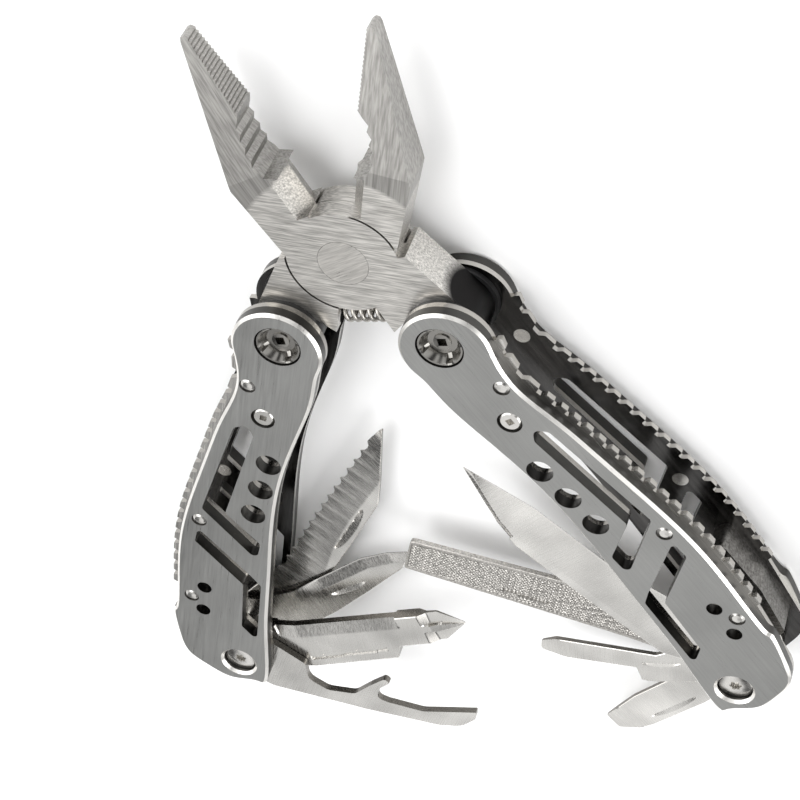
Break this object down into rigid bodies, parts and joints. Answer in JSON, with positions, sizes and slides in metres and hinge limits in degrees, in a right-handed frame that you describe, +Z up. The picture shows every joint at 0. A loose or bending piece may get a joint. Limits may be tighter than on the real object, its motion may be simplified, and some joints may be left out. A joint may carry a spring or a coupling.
{
  "type": "folding multi tool",
  "caption": "Folding pliers with cut-out steel handles that hold swing-out blades, drivers, openers and a file.",
  "frame": {"origin": "bottom centre of the whole open tool, on the surface it lies on", "axes": "+Y from the handle ends towards the pliers' noses, +Z up through the thickness of the handles, +X towards the right handle"},
  "size_m": [0.1175, 0.1614, 0.0161],
  "materials": {
    "plate_steel": "bead-blasted then brushed along the handle, bright bevels",
    "liner_steel": "satin polished",
    "jaw_steel": "tumbled forging",
    "blade_steel": "satin ground",
    "file_steel": "cut teeth on a ground blank",
    "washer_black": "matt",
    "spring_steel": "drawn wire and stamped bar",
    "screw_steel": "polished"
  },
  "bodies": {
    "front_jaw": {"jaw_front": "jaw_steel", "plier_pivot_pin": "screw_steel", "return_spring": "spring_steel"},
    "rear_jaw": {"jaw_rear": "jaw_steel"},
    "left_handle": {"left_front_plate": "plate_steel", "left_rear_plate": "plate_steel", "left_front_liner": "liner_steel", "left_rear_liner": "liner_steel", "left_tang_washers": "washer_black", "left_pivot_screw": "screw_steel", "left_pivot_nut": "screw_steel", "left_rivets": "screw_steel", "left_stop_screws": "screw_steel", "left_back_spring": "spring_steel", "left_tool_bolt": "screw_steel", "left_tool_nut": "screw_steel", "left_tool_washers": "washer_black", "left_bolt_sleeves": "screw_steel"},
    "right_handle": {"right_front_plate": "plate_steel", "right_rear_plate": "plate_steel", "right_front_liner": "liner_steel", "right_rear_liner": "liner_steel", "right_tang_washers": "washer_black", "right_pivot_screw": "screw_steel", "right_pivot_nut": "screw_steel", "right_rivets": "screw_steel", "right_stop_screws": "screw_steel", "right_back_spring": "spring_steel", "right_tool_bolt": "screw_steel", "right_tool_nut": "screw_steel", "right_tool_washers": "washer_black", "right_bolt_sleeves": "screw_steel"},
    "bottle_opener": {"bottle_opener": "blade_steel"},
    "phillips_driver": {"phillips_driver": "blade_steel"},
    "can_opener": {"can_opener": "blade_steel"},
    "serrated_blade": {"serrated_blade": "blade_steel"},
    "knife_blade": {"knife_blade": "blade_steel"},
    "double_cut_file": {"double_cut_file": "file_steel"},
    "slim_driver": {"slim_driver": "blade_steel"},
    "scraper_driver": {"scraper_driver": "blade_steel"}
  },
  "joints": [
    {"name": "jaws", "type": "hinge", "parent": "front_jaw", "child": "rear_jaw", "pos_m": [-0.00174, 0.03891, 0.0081], "axis": [0, 0, -1], "range_deg": [-38.1, 6], "stiffness_Nm_per_rad": 0.02, "deforming": ["return_spring"]},
    {"name": "left_handle_fold", "type": "hinge", "parent": "rear_jaw", "child": "left_handle", "pos_m": [-0.01588, 0.02491, 0.0081], "axis": [0, 0, 1], "range_deg": [-156, 0]},
    {"name": "right_handle_fold", "type": "hinge", "parent": "front_jaw", "child": "right_handle", "pos_m": [0.01241, 0.02491, 0.0081], "axis": [0, 0, -1], "range_deg": [-152, 2.65]},
    {"name": "bottle_opener_swing", "type": "hinge", "parent": "left_handle", "child": "bottle_opener", "pos_m": [-0.0481, -0.05483, 0.0081], "axis": [0, 0, -1], "range_deg": [-87, 93]},
    {"name": "phillips_swing", "type": "hinge", "parent": "left_handle", "child": "phillips_driver", "pos_m": [-0.0481, -0.05483, 0.0081], "axis": [0, 0, -1], "range_deg": [-59, 121]},
    {"name": "can_opener_swing", "type": "hinge", "parent": "left_handle", "child": "can_opener", "pos_m": [-0.0481, -0.05483, 0.0081], "axis": [0, 0, -1], "range_deg": [-38, 142]},
    {"name": "serrated_blade_swing", "type": "hinge", "parent": "left_handle", "child": "serrated_blade", "pos_m": [-0.0481, -0.05483, 0.0081], "axis": [0, 0, -1], "range_deg": [-19, 161]},
    {"name": "knife_swing", "type": "hinge", "parent": "right_handle", "child": "knife_blade", "pos_m": [0.04828, -0.05325, 0.0081], "axis": [0, 0, 1], "range_deg": [-18.35, 161.65]},
    {"name": "file_swing", "type": "hinge", "parent": "right_handle", "child": "double_cut_file", "pos_m": [0.04828, -0.05325, 0.0081], "axis": [0, 0, 1], "range_deg": [-43.35, 136.65]},
    {"name": "slim_driver_swing", "type": "hinge", "parent": "right_handle", "child": "slim_driver", "pos_m": [0.04828, -0.05325, 0.0081], "axis": [0, 0, 1], "range_deg": [-69.35, 110.65]},
    {"name": "scraper_swing", "type": "hinge", "parent": "right_handle", "child": "scraper_driver", "pos_m": [0.04828, -0.05325, 0.0081], "axis": [0, 0, 1], "range_deg": [-105.35, 74.65]}
  ]
}
